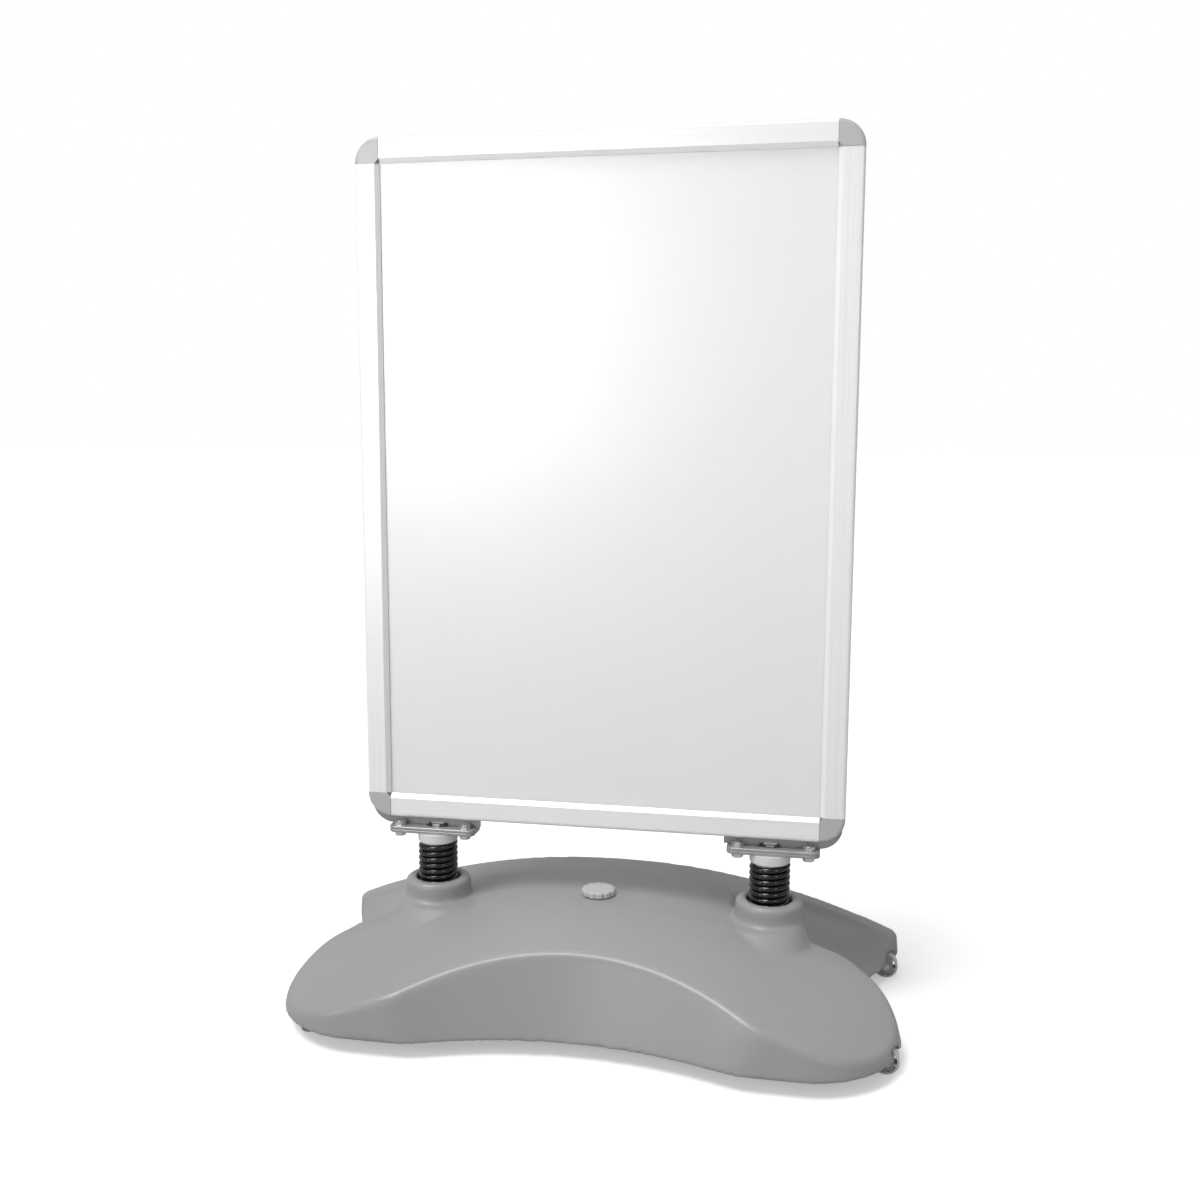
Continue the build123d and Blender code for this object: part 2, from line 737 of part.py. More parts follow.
def rail_span(side):
    """Clear length between the corners along one side."""
    whole = sign_width if side in ("top", "bottom") else sign_height
    return whole - 2 * rail_width


def snap_rail(plane, length):
    """Hinged cover extrusion with its pivot bead."""
    inner_round = rail_round - rail_skin
    with BuildPart() as rail:
        with BuildSketch(plane) as section:
            with BuildLine():
                Polyline(
                    (0, 0),
                    (0, skirt_depth),
                    (rail_skin, skirt_depth),
                    (rail_skin, rail_skin),
                    (rail_flat_end - rail_bend_inset, rail_skin),
                    (bevel_end - rail_lip, bevel_depth + rail_lip_rise),
                    (bevel_end, bevel_depth + rail_lip_rise),
                    (bevel_end, bevel_depth),
                    (rail_flat_end, 0),
                    close=True,
                )
            make_face()
            fillet(section.vertices().sort_by_distance((0, 0, 0))[0], rail_round)
            fillet(section.vertices().sort_by_distance((rail_skin, rail_skin, 0))[0], inner_round)
            with Locations((bead_inset, bead_depth)):
                Circle(bead_radius)
            with Locations(((bead_inset + rail_skin / 2) / 2, bead_depth)):
                Rectangle(bead_inset - rail_skin / 2, bead_neck)
        extrude(amount=length / 2, both=True)
    return rail.part


def base_rail(plane, length, rivets):
    """Fixed extrusion with the open cradle for the bead, a spring stop and a sheet ledge."""
    back = frame_depth - base_floor
    inner = bead_radius + bead_clearance
    outer = inner + cradle_wall
    with BuildPart() as rail:
        with BuildSketch(plane):
            with Locations((bead_inset, bead_depth)):
                Circle(outer)
                Circle(inner, mode=Mode.SUBTRACT)
            with BuildLine():
                Polyline(
                    (bead_inset, bead_depth),
                    (rail_skin + cradle_mouth, bead_depth),
                    (rail_skin + cradle_mouth, 0),
                    (-outer, 0),
                    (-outer, back),
                    (bead_inset + cradle_back, back),
                    close=True,
                )
            make_face(mode=Mode.SUBTRACT)
            with Locations((bead_inset + outer + base_rib_gap, (bead_depth + frame_depth) / 2)):
                Rectangle(base_rib, frame_depth - bead_depth)
            with Locations((rail_width / 2, frame_depth - base_floor / 2)):
                Rectangle(rail_width - 2 * corner_gap, base_floor)
            with Locations((spring_stop_place, (frame_depth + spring_stop_depth) / 2)):
                Rectangle(spring_stop_width, frame_depth - spring_stop_depth)
            with Locations((ledge_place, (frame_depth + ledge_depth) / 2)):
                Rectangle(ledge_width, frame_depth - ledge_depth)
        extrude(amount=length / 2, both=True)
        if rivets:
            with Locations(*[(x, plane.origin.Y, sign_bottom + rivet_height) for x in rivets]):
                Cylinder(rivet_diameter / 2, 3 * frame_depth, rotation=(90, 0, 0), mode=Mode.SUBTRACT)
    return rail.part


def leaf_springs(face, depth_sign):
    """Bent steel leaves that throw the rails open or hold them shut, two to a rail."""
    with BuildPart() as leaves:
        for side in ("top", "bottom", "left", "right"):
            plane = side_plane(face, depth_sign, side)
            for place in (-1, 1):
                with BuildSketch(plane.offset(place * rail_span(side) / 4)):
                    with BuildLine():
                        Polyline(*leaf_outline, close=True)
                    make_face()
                extrude(amount=leaf_length / 2, both=True)
    return leaves.part


def corner_piece(face, depth_sign, x_side, z_side):
    """Moulded corner: a rounded plate standing proud of the rails, with a wall behind it."""
    corner_x = x_side * sign_width / 2
    corner_z = sign_middle + z_side * sign_height / 2
    x_dir = (-x_side, 0, 0)
    z_dir = Vector(*x_dir).cross(Vector(0, 0, -z_side))
    plane = Plane((corner_x, face - depth_sign * corner_proud, corner_z), x_dir=x_dir, z_dir=z_dir)
    into = depth_sign if z_dir.Y > 0 else -depth_sign
    depth = frame_depth + corner_proud
    with BuildPart() as corner:
        with BuildSketch(plane):
            with BuildLine():
                Polyline(
                    (0, rail_width),
                    (rail_width - corner_chamfer, rail_width),
                    (rail_width, rail_width - corner_chamfer),
                    (rail_width, 0),
                )
                CenterArc((rail_width, rail_width), rail_width, 180, 90)
            make_face()
        extrude(amount=into * depth)
        rims = corner.edges().filter_by(lambda e: abs(e.center().Y - plane.origin.Y) < 0.01)
        fillet(rims.filter_by(GeomType.CIRCLE), rail_round)
        with BuildSketch(plane.offset(into * (rail_skin + corner_proud))):
            with Locations((rail_width, rail_width)):
                Circle(rail_width - corner_wall)
                Rectangle(rail_width, rail_width, align=(Align.MAX, Align.MAX), mode=Mode.INTERSECT)
        extrude(amount=into * depth, mode=Mode.SUBTRACT)
        with BuildSketch(plane):
            with Locations((corner_post, corner_post)):
                Circle(corner_post_radius)
        extrude(amount=into * depth)
    return corner.part


shoe_inner_x = sign_width / 2 - core_inset - shoe_length
shoe_rivet_x = [side * (shoe_inner_x + shoe_length * t) for side in (-1, 1) for t in rivet_steps]
for frame, face, depth_sign in (("front", front_face, 1), ("rear", rear_face, -1)):
    for side in ("top", "bottom", "left", "right"):
        plane = side_plane(face, depth_sign, side)
        span = rail_span(side)
        write(snap_rail(plane, span - 2 * corner_gap), f"{frame}_rail_{side}")
        write(base_rail(plane, span, shoe_rivet_x if side == "bottom" else []), f"{frame}_base_{side}")
    for name, x_side, z_side in (("tl", -1, 1), ("tr", 1, 1), ("bl", -1, -1), ("br", 1, -1)):
        write(corner_piece(face, depth_sign, x_side, z_side), f"{frame}_corner_{name}")
    write(leaf_springs(face, depth_sign), f"{frame}_leaf_springs")

    # Clear cover, poster and backing board, stacked from the front
    sheets = (
        ("cover", cover_depth, cover_thickness),
        ("poster", cover_depth + cover_thickness, poster_thickness),
        ("backing", cover_depth + cover_thickness + poster_thickness, backing_thickness),
    )
    for name, depth, thickness in sheets:
        with BuildPart() as sheet:
            with Locations((0, face + depth_sign * (depth + thickness / 2), sign_middle)):
                Box(poster_width, thickness, poster_height)
        write(sheet.part, f"{frame}_{name}")

# Rivets through both frames and the shoes
with BuildPart() as shoe_rivets:
    grip = core_thickness + 2 * base_floor
    head_y = (grip + rivet_head_height) / 2
    for x in shoe_rivet_x:
        with Locations((x, sign_setback, sign_bottom + rivet_height)):
            Cylinder(rivet_diameter / 2, grip + 2 * rivet_head_height, rotation=(90, 0, 0))
        for side in (-1, 1):
            with Locations((x, sign_setback + side * head_y, sign_bottom + rivet_height)):
                Cylinder(rivet_head_diameter / 2, rivet_head_height, rotation=(90, 0, 0))
write(shoe_rivets.part, "shoe_rivets")
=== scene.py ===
import bpy
import json
from math import radians
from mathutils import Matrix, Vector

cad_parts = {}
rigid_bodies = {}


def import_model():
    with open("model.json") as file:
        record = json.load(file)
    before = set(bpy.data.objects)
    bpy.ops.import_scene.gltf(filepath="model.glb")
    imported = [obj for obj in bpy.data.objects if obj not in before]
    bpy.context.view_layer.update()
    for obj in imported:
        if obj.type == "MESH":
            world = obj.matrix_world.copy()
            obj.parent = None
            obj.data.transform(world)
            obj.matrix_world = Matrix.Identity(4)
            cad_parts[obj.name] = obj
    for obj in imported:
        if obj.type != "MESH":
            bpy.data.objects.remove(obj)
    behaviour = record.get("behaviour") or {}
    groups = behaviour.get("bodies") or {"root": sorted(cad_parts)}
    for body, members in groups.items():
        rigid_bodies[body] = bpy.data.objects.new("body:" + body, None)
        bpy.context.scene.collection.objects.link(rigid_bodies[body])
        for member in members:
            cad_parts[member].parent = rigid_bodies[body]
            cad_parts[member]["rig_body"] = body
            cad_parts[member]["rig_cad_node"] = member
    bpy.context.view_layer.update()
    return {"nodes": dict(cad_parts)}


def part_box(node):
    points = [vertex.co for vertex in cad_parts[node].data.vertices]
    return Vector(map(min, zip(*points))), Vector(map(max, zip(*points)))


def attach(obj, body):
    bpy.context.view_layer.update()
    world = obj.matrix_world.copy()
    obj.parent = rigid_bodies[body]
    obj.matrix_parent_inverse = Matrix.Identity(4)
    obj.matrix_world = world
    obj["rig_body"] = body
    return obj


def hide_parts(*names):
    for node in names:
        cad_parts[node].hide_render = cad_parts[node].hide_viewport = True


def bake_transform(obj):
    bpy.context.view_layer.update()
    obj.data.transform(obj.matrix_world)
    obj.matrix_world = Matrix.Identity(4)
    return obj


bl_info = {
    "name": "Water base pavement sign",
    "version": (1, 0, 0),
    "blender": (4, 5, 0),
    "location": "3D View > Sidebar > Pavement sign",
    "description": "Builds the finishes and moulded details of a sprung pavement sign "
                   "on a water base",
    "category": "Object",
}

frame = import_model()
nodes = frame["nodes"]


# Colours that belong to the stock and stay as they are

wheel_grey = (0.6, 0.61, 0.63)
rubber_black = (0.03, 0.03, 0.03)
zinc_grey = (0.7, 0.71, 0.72)
plug_white = (0.72, 0.72, 0.71)
board_grey = (0.5, 0.5, 0.5)
coil_dust = (0.08, 0.08, 0.08)
clear_tint = (0.86, 0.87, 0.87)
white = (1, 1, 1)


# Sizes and colours that a user would change

class BaseSettings(bpy.types.PropertyGroup):
    """The moulded base and its small parts"""
    colour: bpy.props.FloatVectorProperty(
        name="Base colour", description="Colour of the moulded base", subtype="COLOR",
        size=3, min=0, max=1, default=(0.318, 0.324, 0.322))
    cap_colour: bpy.props.FloatVectorProperty(
        name="Cap colour", description="Colour of the filler cap", subtype="COLOR",
        size=3, min=0, max=1, default=(0.53, 0.535, 0.53))
    skin_grid: bpy.props.FloatProperty(
        name="Skin grid", description="Size of the grid that the moulded skin is drawn on",
        subtype="DISTANCE", unit="LENGTH", default=0.003, min=0.002, max=0.01)
    softness: bpy.props.IntProperty(
        name="Softness", description="How far the moulding's edges are rounded",
        default=8, min=0, max=60)
    neck_depth: bpy.props.FloatProperty(
        name="Neck depth", description="Depth of the well under the filler cap",
        subtype="DISTANCE", unit="LENGTH", default=0.019, min=0.017, max=0.03)
    grain_size: bpy.props.FloatProperty(
        name="Grain size", description="Spacing of the mould's fine grain",
        subtype="DISTANCE", unit="LENGTH", default=0.0016, min=0.0002, max=0.01)


class FrameSettings(bpy.types.PropertyGroup):
    """The snap frames and their sheets"""
    rail_colour: bpy.props.FloatVectorProperty(
        name="Rail colour", description="Colour of the anodised rails", subtype="COLOR",
        size=3, min=0, max=1, default=(0.93, 0.935, 0.94))
    corner_colour: bpy.props.FloatVectorProperty(
        name="Corner colour", description="Colour of the moulded corners", subtype="COLOR",
        size=3, min=0, max=1, default=(0.49, 0.495, 0.50))
    sheet_colour: bpy.props.FloatVectorProperty(
        name="Sheet colour", description="Colour of the blank poster sheet", subtype="COLOR",
        size=3, min=0, max=1, default=(0.93, 0.935, 0.93))


class PostSettings(bpy.types.PropertyGroup):
    """The spring posts and their brackets"""
    spring_colour: bpy.props.FloatVectorProperty(
        name="Spring colour", description="Colour of the enamelled coils", subtype="COLOR",
        size=3, min=0, max=1, default=(0.003, 0.003, 0.0035))
    bend_length: bpy.props.FloatProperty(
        name="Bend length", description="Length of the coils that bends when the sign leans",
        subtype="DISTANCE", unit="LENGTH", default=0.0535, min=0.01, max=0.1)
    bracket_colour: bpy.props.FloatVectorProperty(
        name="Bracket colour", description="Colour of the bracket plates", subtype="COLOR",
        size=3, min=0, max=1, default=(0.36, 0.365, 0.37))


class StageSettings(bpy.types.PropertyGroup):
    """The floor, the light and the camera"""
    floor_colour: bpy.props.FloatVectorProperty(
        name="Floor colour", description="Colour of the studio floor", subtype="COLOR",
        size=3, min=0, max=1, default=(0.86, 0.86, 0.86))
    floor_lift: bpy.props.FloatProperty(
        name="Floor lift", description="White that the floor shows to the camera",
        default=0.36, min=0, max=1)
    floor_bounce: bpy.props.FloatProperty(
        name="Floor bounce", description="Share of the floor's tone that lights the sign",
        default=0.55, min=0, max=1)
    world_strength: bpy.props.FloatProperty(
        name="Surround strength", description="Brightness of the light all round",
        default=0.52, min=0, max=3)
    sun_strength: bpy.props.FloatProperty(
        name="Key strength", description="Strength of the broad high light",
        default=1.6, min=0, max=20)
    strip_power: bpy.props.FloatProperty(
        name="Strip power", description="Power of each small panel that draws the highlights",
        unit="POWER", default=11.0, min=0, max=500)
    softbox_power: bpy.props.FloatProperty(
        name="Softbox power", description="Power of the large panel beside the camera",
        unit="POWER", default=2.6, min=0, max=500)
    camera_place: bpy.props.FloatVectorProperty(
        name="Camera place", description="Where the camera stands", subtype="TRANSLATION",
        unit="LENGTH", size=3, default=(0.2902, -1.5352, 0.7467))
    camera_turn: bpy.props.FloatVectorProperty(
        name="Camera turn", description="Which way the camera looks", subtype="EULER",
        unit="ROTATION", size=3, default=(1.4358, -0.0036, 0.1847))
    lens: bpy.props.FloatProperty(
        name="Lens", description="Focal length in millimetres", default=37.6, min=10, max=300)


# Shader nodes and the groups that several finishes share

def feed(tree, socket, value):
    """Link another node's output to a socket, or set the socket's own value."""
    if isinstance(value, bpy.types.NodeSocket):
        tree.links.new(value, socket)
    else:
        socket.default_value = value


def feed_colour(tree, socket, value):
    """Feed a colour socket, where a plain colour comes without its alpha."""
    if not isinstance(value, bpy.types.NodeSocket):
        value = (*value, 1)
    feed(tree, socket, value)


def math_node(tree, operation, a, b, clamp=False):
    node = tree.nodes.new("ShaderNodeMath")
    node.operation = operation
    node.use_clamp = clamp
    feed(tree, node.inputs[0], a)
    feed(tree, node.inputs[1], b)
    return node.outputs[0]


def noise_node(tree, vector, scale, detail, roughness=0.55):
    node = tree.nodes.new("ShaderNodeTexNoise")
    tree.links.new(vector, node.inputs["Vector"])
    feed(tree, node.inputs["Scale"], scale)
    node.inputs["Detail"].default_value = detail
    node.inputs["Roughness"].default_value = roughness
    return node.outputs["Fac"]


def new_group(name, inputs, outputs):
    """Empty node group with named sockets, and its two end nodes."""
    tree = bpy.data.node_groups.new(name, "ShaderNodeTree")
    for label, kind, value in inputs:
        socket = tree.interface.new_socket(label, in_out="INPUT", socket_type=kind)
        if value is not None:
            socket.default_value = value
    for label, kind in outputs:
        tree.interface.new_socket(label, in_out="OUTPUT", socket_type=kind)
    return tree, tree.nodes.new("NodeGroupInput"), tree.nodes.new("NodeGroupOutput")


def build_drift_group():
    """Slow change of tone over a surface, as moulded or anodised stock has."""
    tree, start, end = new_group(
        "Tone drift",
        (("Vector", "NodeSocketVector", None),
         ("Colour", "NodeSocketColor", (0.5, 0.5, 0.5, 1)),
         ("Scale", "NodeSocketFloat", 4.0),
         ("Amount", "NodeSocketFloat", 0.1)),
        (("Colour", "NodeSocketColor"),))
    noise_middle = 0.5
    wide = noise_node(tree, start.outputs["Vector"], start.outputs["Scale"], detail=4)
    centred = math_node(tree, "SUBTRACT", wide, noise_middle)
    swing = math_node(tree, "MULTIPLY", centred, start.outputs["Amount"])
    factor = math_node(tree, "ADD", swing, 1.0)
    scale = tree.nodes.new("ShaderNodeVectorMath")
    scale.operation = "SCALE"
    tree.links.new(start.outputs["Colour"], scale.inputs[0])
    tree.links.new(factor, scale.inputs["Scale"])
    tree.links.new(scale.outputs[0], end.inputs["Colour"])
    return tree


def build_grain_group():
    """Height of a fine pebbled grain with a little slow waviness under it."""
    tree, start, end = new_group(
        "Mould grain",
        (("Vector", "NodeSocketVector", None),
         ("Scale", "NodeSocketFloat", 600.0),
         ("Waves", "NodeSocketFloat", 0.4)),
        (("Height", "NodeSocketFloat"),))
    wave_scale = 14.0
    fine = noise_node(tree, start.outputs["Vector"], start.outputs["Scale"], detail=2)
    wide = noise_node(tree, start.outputs["Vector"], wave_scale, detail=1)
    waves = math_node(tree, "MULTIPLY", wide, start.outputs["Waves"])
    height = math_node(tree, "ADD", fine, waves)
    tree.links.new(height, end.inputs["Height"])
    return tree


def build_rubs_group():
    """Mask of thin rubs and smears that run one way."""
    tree, start, end = new_group(
        "Rubs",
        (("Vector", "NodeSocketVector", None),
         ("Scale", "NodeSocketFloat", 20.0),
         ("Cover", "NodeSocketFloat", 0.35)),
        (("Mask", "NodeSocketFloat"),))
    contrast = 6.0
    lines = noise_node(
        tree, start.outputs["Vector"], start.outputs["Scale"], detail=6, roughness=0.7)
    limit = math_node(tree, "SUBTRACT", 1.0, start.outputs["Cover"])
    over = math_node(tree, "SUBTRACT", lines, limit)
    mask = math_node(tree, "MULTIPLY", over, contrast, clamp=True)
    tree.links.new(mask, end.inputs["Mask"])
    return tree


def build_dust_group():
    """Mask of dust that settles on faces that look up."""
    tree, start, end = new_group(
        "Settled dust",
        (("Vector", "NodeSocketVector", None),
         ("Scale", "NodeSocketFloat", 60.0),
         ("Amount", "NodeSocketFloat", 0.2)),
        (("Mask", "NodeSocketFloat"),))
    least_rise, rise_contrast = 0.35, 1.6
    least_speck, speck_contrast = 0.42, 4.0
    geometry = tree.nodes.new("ShaderNodeNewGeometry")
    split = tree.nodes.new("ShaderNodeSeparateXYZ")
    tree.links.new(geometry.outputs["True Normal"], split.inputs[0])
    up = math_node(tree, "SUBTRACT", split.outputs["Z"], least_rise)
    facing = math_node(tree, "MULTIPLY", up, rise_contrast, clamp=True)
    specks = noise_node(
        tree, start.outputs["Vector"], start.outputs["Scale"], detail=5, roughness=0.75)
    patch = math_node(tree, "SUBTRACT", specks, least_speck)
    spread = math_node(tree, "MULTIPLY", patch, speck_contrast, clamp=True)
    both = math_node(tree, "MULTIPLY", facing, spread)
    amount = math_node(tree, "MULTIPLY", both, start.outputs["Amount"])
    tree.links.new(amount, end.inputs["Mask"])
    return tree


groups = {
    "drift": build_drift_group(),
    "grain": build_grain_group(),
    "rubs": build_rubs_group(),
    "dust": build_dust_group(),
}


# Finishes

class Finish:
    """One material under construction: its shader and the object coordinates it reads."""

    def __init__(self, name, roughness, metallic=0.0):
        self.material = bpy.data.materials.new(name)
        self.material.use_nodes = True
        self.tree = self.material.node_tree
        self.shader = self.tree.nodes["Principled BSDF"]
        self.plain("Roughness", roughness)
        self.plain("Metallic", metallic)
        self.coordinates = self.tree.nodes.new("ShaderNodeTexCoord").outputs["Object"]

    def plain(self, label, value):
        """Set one of the shader's own sockets to a value that is the same all over."""
        self.shader.inputs[label].default_value = value

    def stretched(self, scale):
        """Object coordinates scaled along each axis."""
        mapping = self.tree.nodes.new("ShaderNodeMapping")
        mapping.inputs["Scale"].default_value = scale
        self.tree.links.new(self.coordinates, mapping.inputs["Vector"])
        return mapping.outputs["Vector"]

    def group(self, key, vector, **values):
        """Place a shared group with its own values, and give its output."""
        node = self.tree.nodes.new("ShaderNodeGroup")
        node.node_tree = groups[key]
        self.tree.links.new(vector, node.inputs["Vector"])
        for label, value in values.items():
            feed(self.tree, node.inputs[label.capitalize()], value)
        return node.outputs[0]

    def mix(self, mask, a, b):
        """Colour a turning to colour b where the mask is 1."""
        first_colour, second_colour, mixed_colour = 6, 7, 2
        node = self.tree.nodes.new("ShaderNodeMix")
        node.data_type = "RGBA"
        self.tree.links.new(mask, node.inputs["Factor"])
        feed_colour(self.tree, node.inputs[first_colour], a)
        feed_colour(self.tree, node.inputs[second_colour], b)
        return node.outputs[mixed_colour]

    def colour(self, value):
        feed_colour(self.tree, self.shader.inputs["Base Color"], value)

    def roughness_between(self, mask, low, high):
        """Roughness from low to high by a mask."""
        swing = math_node(self.tree, "MULTIPLY", mask, high - low)
        value = math_node(self.tree, "ADD", swing, low)
        self.tree.links.new(value, self.shader.inputs["Roughness"])

    def bump(self, height, strength, distance):
        node = self.tree.nodes.new("ShaderNodeBump")
        node.inputs["Strength"].default_value = strength
        node.inputs["Distance"].default_value = distance
        self.tree.links.new(height, node.inputs["Height"])
        self.tree.links.new(node.outputs["Normal"], self.shader.inputs["Normal"])


def moulded_plastic(name, colour, roughness, grain_size, dust=0.15, waves=0.5):
    """Satin plastic with fine grain, slow change of tone, rubs and settled dust."""
    dust_gain, dust_lift = 1.35, 0.03
    polish, wear = 0.05, 0.12
    finish = Finish(name, roughness)
    toned = finish.group(
        "drift", finish.coordinates, colour=(*colour, 1), scale=5.0, amount=0.14)
    rubs = finish.group("rubs", finish.stretched((1.0, 6.0, 3.0)), scale=34.0, cover=0.34)
    dusted = finish.group("dust", finish.coordinates, scale=260.0, amount=dust)
    pale = tuple(min(1.0, c * dust_gain + dust_lift) for c in colour)
    finish.colour(finish.mix(dusted, toned, pale))
    finish.roughness_between(rubs, roughness - polish, roughness + wear)
    grain = finish.group("grain", finish.coordinates, scale=1 / grain_size, waves=waves)
    finish.bump(grain, strength=0.16, distance=0.0006)
    return finish.material


def anodised(name, colour, along):
    """Satin anodised extrusion with die lines along the rail."""
    along_scale, across_scale = 1.5, 520.0
    line_tone = 0.93
    finish = Finish(name, roughness=0.36, metallic=0.15)
    scale = tuple(along_scale if axis == along else across_scale for axis in "XYZ")
    lines = finish.group("rubs", finish.stretched(scale), scale=1.0, cover=0.5)
    toned = finish.group(
        "drift", finish.coordinates, colour=(*colour, 1), scale=9.0, amount=0.05)
    shade = tuple(c * line_tone for c in colour)
    finish.colour(finish.mix(lines, toned, shade))
    finish.roughness_between(lines, low=0.33, high=0.42)
    finish.bump(lines, strength=0.05, distance=0.0002)
    return finish.material


def bright_zinc(name, colour, roughness=0.3, metallic=0.9):
    """Zinc plated steel with a mottled tone and small scratches."""
    polish, wear = 0.04, 0.16
    finish = Finish(name, roughness, metallic)
    toned = finish.group(
        "drift", finish.coordinates, colour=(*colour, 1), scale=160.0, amount=0.25)
    rubs = finish.group("rubs", finish.stretched((3.0, 1.0, 3.0)), scale=140.0, cover=0.42)
    finish.colour(toned)
    finish.roughness_between(rubs, roughness - polish, roughness + wear)
    finish.bump(rubs, strength=0.08, distance=0.0002)
    return finish.material


def enamel(name, colour):
    """Gloss black enamel over the coils, thin and slightly uneven."""
    finish = Finish(name, roughness=0.06)
    finish.plain("Coat Weight", 0.4)
    toned = finish.group(
        "drift", finish.coordinates, colour=(*colour, 1), scale=60.0, amount=0.5)
    dusted = finish.group("dust", finish.coordinates, scale=420.0, amount=0.05)
    finish.colour(finish.mix(dusted, toned, coil_dust))
    grain = finish.group("grain", finish.coordinates, scale=700.0, waves=0.3)
    finish.bump(grain, strength=0.05, distance=0.0003)
    return finish.material


def clear_sheet(name):
    """Clear cover sheet: nearly all see-through, with a soft gloss."""
    finish = Finish(name, roughness=0.32)
    finish.plain("Alpha", 0.12)
    toned = finish.group(
        "drift", finish.coordinates, colour=(*clear_tint, 1), scale=2.0, amount=0.04)
    finish.colour(toned)
    waves = finish.group("grain", finish.coordinates, scale=3.0, waves=0.8)
    finish.bump(waves, strength=0.02, distance=0.002)
    return finish.material


def printed_sheet(name, colour):
    """Blank sheet with a smooth satin face that shows the studio's glow."""
    finish = Finish(name, roughness=0.36)
    finish.plain("Coat Weight", 1.0)
    finish.plain("Coat Roughness", 0.34)
    finish.plain("Coat IOR", 1.7)
    toned = finish.group(
        "drift", finish.coordinates, colour=(*colour, 1), scale=1.6, amount=0.05)
    finish.colour(toned)
    fibres = finish.group("grain", finish.coordinates, scale=900.0, waves=0.0)
    finish.bump(fibres, strength=0.02, distance=0.0002)
    return finish.material


def set_finish(mesh, material):
    """Give a mesh one finish in place of any it has."""
    mesh.materials.clear()
    mesh.materials.append(material)


def dress(material, *names):
    """Give CAD nodes one finish."""
    for name in names:
        set_finish(nodes[name].data, material)


# Modelling helpers

def middle(low, high):
    """Centre of a box, seen from above."""
    return (low.x + high.x) / 2, (low.y + high.y) / 2


def pick(*pieces):
    """Select these objects alone, with the first one active."""
    bpy.ops.object.select_all(action="DESELECT")
    for piece in pieces:
        piece.select_set(True)
    bpy.context.view_layer.objects.active = pieces[0]


def edit_all(piece):
    """Open one object in edit mode with all of it selected."""
    pick(piece)
    bpy.ops.object.mode_set(mode="EDIT")
    bpy.ops.mesh.select_all(action="SELECT")


def close_edit():
    bpy.ops.object.mode_set(mode="OBJECT")


def settle(piece, name):
    """Name a piece and move its place into its mesh."""
    piece.name = name
    piece.data.name = name
    pick(piece)
    bpy.ops.object.transform_apply(location=True, rotation=True, scale=True)
    return piece


def finish_with(piece, material, body):
    """Give a new piece its finish and body."""
    set_finish(piece.data, material)
    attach(piece, body)


def apply_modifier(piece, kind, name, **values):
    """Add one modifier with these values and apply it."""
    bpy.context.view_layer.objects.active = piece
    modifier = piece.modifiers.new(name, kind)
    for key, value in values.items():
        setattr(modifier, key, value)
    bpy.ops.object.modifier_apply(modifier=name)


def copy_node(name, piece_name):
    """Copy of a CAD node's mesh with its loose triangles merged."""
    merge_distance = 0.00002
    pick(nodes[name])
    bpy.ops.object.duplicate(linked=False)
    piece = bpy.context.object
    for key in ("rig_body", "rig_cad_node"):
        if key in piece:
            del piece[key]
    piece.parent = None
    edit_all(piece)
    bpy.ops.mesh.remove_doubles(threshold=merge_distance)
    close_edit()
    return settle(piece, piece_name)


# Operators

class SIGN_OT_base_moulding(bpy.types.Operator):
    """Draw the base as one soft moulded skin over the hollow solid"""
    bl_idname = "sign.base_moulding"
    bl_label = "Base moulding"

    def execute(self, context):
        settings = context.scene.sign_base
        skin = copy_node("water_base", "base_moulding")
        pick(skin, self.filler_neck(settings.neck_depth), *self.hole_plugs())
        bpy.ops.object.join()
        apply_modifier(skin, "REMESH", "skin",
                       mode="VOXEL", voxel_size=settings.skin_grid, adaptivity=0.0)
        apply_modifier(skin, "SMOOTH", "soft", factor=0.5, iterations=settings.softness)
        pick(skin)
        bpy.ops.object.shade_smooth()
        material = moulded_plastic(
            "moulded grey", settings.colour, roughness=0.36, grain_size=settings.grain_size)
        finish_with(skin, material, "base")
        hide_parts("water_base")
        dress(material, "wheel_cheeks", "base_feet")
        return {"FINISHED"}

    def filler_neck(self, depth):
        """Blind neck under the filler hole, so that the lifted cap shows a dark well."""
        neck_radius, well_radius = 0.018, 0.0142
        floor_thickness, drop_below_seal = 0.004, 0.002
        low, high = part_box("filler_seal")
        x, y = middle(low, high)
        top = low.z - drop_below_seal
        length = depth + floor_thickness
        bpy.ops.mesh.primitive_cylinder_add(
            vertices=48, radius=neck_radius, depth=length, location=(x, y, top - length / 2))
        neck = bpy.context.object
        bpy.ops.mesh.primitive_cylinder_add(
            vertices=48, radius=well_radius, depth=depth * 2, location=(x, y, top))
        bore = bpy.context.object
        apply_modifier(neck, "BOOLEAN", "well", object=bore, operation="DIFFERENCE")
        bpy.data.objects.remove(bore)
        return neck

    def hole_plugs(self):
        """Short rods that close the holes of the feet's stubs and of the anchor bolts."""
        foot_radius, front_foot_inset = 0.014, 0.030
        stub_radius, anchor_radius, rod_length = 0.006, 0.008, 0.012
        low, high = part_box("base_feet")
        places = [
            (low.x + front_foot_inset + foot_radius, low.y + foot_radius, high.z, stub_radius),
            (low.x + foot_radius, high.y - foot_radius, high.z, stub_radius),
        ]
        for side in ("left", "right"):
            low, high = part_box(f"lower_plug_{side}")
            places.append((*middle(low, high), low.z - rod_length / 2, anchor_radius))
        rods = []
        for x, y, z, radius in places:
            bpy.ops.mesh.primitive_cylinder_add(
                vertices=32, radius=radius, depth=rod_length, location=(x, y, z))
            rods.append(bpy.context.object)
        return rods


